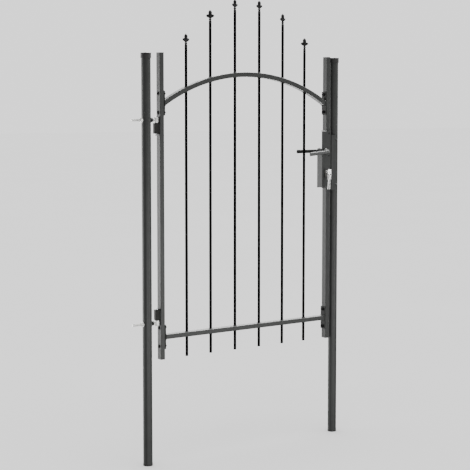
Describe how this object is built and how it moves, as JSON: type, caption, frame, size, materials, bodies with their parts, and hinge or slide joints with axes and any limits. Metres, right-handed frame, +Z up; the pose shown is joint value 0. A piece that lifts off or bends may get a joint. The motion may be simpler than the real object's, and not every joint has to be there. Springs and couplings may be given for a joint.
{
  "type": "garden gate",
  "caption": "Narrow steel garden gate: two round posts, an arched leaf of round bars with spear heads, adjustable eyebolt hinges, a lever lock with keys and a keep.",
  "frame": {"origin": "centre of the hinge post's foot, on the underside of its plug", "axes": "+Z up along the hinge post, +X to the latch post, +Y to the back; the leaf opens towards -Y"},
  "size_m": [1.0933, 0.1175, 1.99],
  "materials": {
    "powder_coat": "fine textured satin anthracite powder coat",
    "black_plastic": "matt moulded",
    "zinc": "bright zinc plated",
    "black_screw": "black coated steel",
    "nickel_brass": "satin nickel over brass",
    "nickel": "bright nickel"
  },
  "bodies": {
    "root": {"hinge_post": "powder_coat", "latch_post": "powder_coat", "hinge_post_cap": "black_plastic", "latch_post_cap": "black_plastic", "hinge_post_foot": "black_plastic", "latch_post_foot": "black_plastic", "upper_eyebolt": "zinc", "lower_eyebolt": "zinc", "eyebolt_nuts": "zinc", "eyebolt_washers": "zinc", "keep": "powder_coat", "keep_screws": "black_screw"},
    "leaf": {"hinge_stile": "powder_coat", "lock_stile": "powder_coat", "stile_caps": "black_plastic", "stile_plugs": "black_plastic", "top_arch": "powder_coat", "bottom_rail": "powder_coat", "bar_1": "powder_coat", "bar_2": "powder_coat", "bar_3": "powder_coat", "bar_4": "powder_coat", "bar_5": "powder_coat", "bar_6": "powder_coat", "spear_1": "powder_coat", "spear_2": "powder_coat", "spear_3": "powder_coat", "spear_4": "powder_coat", "spear_5": "powder_coat", "spear_6": "powder_coat", "arch_plate_left": "powder_coat", "arch_plate_right": "powder_coat", "rail_plate_left": "powder_coat", "rail_plate_right": "powder_coat", "frame_bolts": "black_screw", "frame_nuts": "black_screw", "upper_hinge_block": "powder_coat", "lower_hinge_block": "powder_coat", "upper_hinge_pin": "zinc", "lower_hinge_pin": "zinc", "lock_case": "powder_coat", "lock_faceplate": "zinc", "faceplate_screws": "zinc", "front_cover": "powder_coat", "back_cover": "powder_coat", "cover_screws": "black_screw", "cylinder_body": "nickel_brass", "cylinder_screw": "zinc"},
    "levers": {"front_lever": "powder_coat", "back_lever": "powder_coat", "spindle": "zinc", "follower": "zinc", "return_spring": "zinc"},
    "latch": {"latch_bolt": "zinc"},
    "deadbolt_body": {"deadbolt": "zinc"},
    "key_set": {"cylinder_plug": "nickel_brass", "key": "nickel", "key_ring": "nickel"},
    "spares": {"spare_keys": "nickel"}
  },
  "joints": [
    {"name": "leaf_hinge", "type": "hinge", "parent": "root", "child": "leaf", "pos_m": [0.048, 0, 0.6], "axis": [0, 0, -1], "range_deg": [0, 95]},
    {"name": "lever_turn", "type": "hinge", "parent": "leaf", "child": "levers", "pos_m": [0.937, 0, 1.318], "axis": [0, -1, 0], "range_deg": [0, 36], "stiffness_Nm_per_rad": 1.2, "springref_deg": -20.05},
    {"name": "latch_slide", "type": "slide", "parent": "leaf", "child": "latch", "axis": [-1, 0, 0], "range_m": [0, 0.007]},
    {"name": "key_turn", "type": "hinge", "parent": "leaf", "child": "key_set", "pos_m": [0.937, -0.05, 1.226], "axis": [0, 1, 0], "range_deg": [0, 360]},
    {"name": "deadbolt_slide", "type": "slide", "parent": "leaf", "child": "deadbolt_body", "axis": [1, 0, 0], "range_m": [0, 0.009]},
    {"name": "spare_swing", "type": "hinge", "parent": "key_set", "child": "spares", "pos_m": [0.9385, -0.0505, 1.199], "axis": [0.9781, -0.2079, 0], "range_deg": [-15, 15]}
  ],
  "couplings": [
    {"joint": "latch_slide", "follows": "lever_turn", "m_per_rad": 0.0111},
    {"joint": "deadbolt_slide", "follows": "key_turn", "m_per_rad": 0.00143}
  ]
}
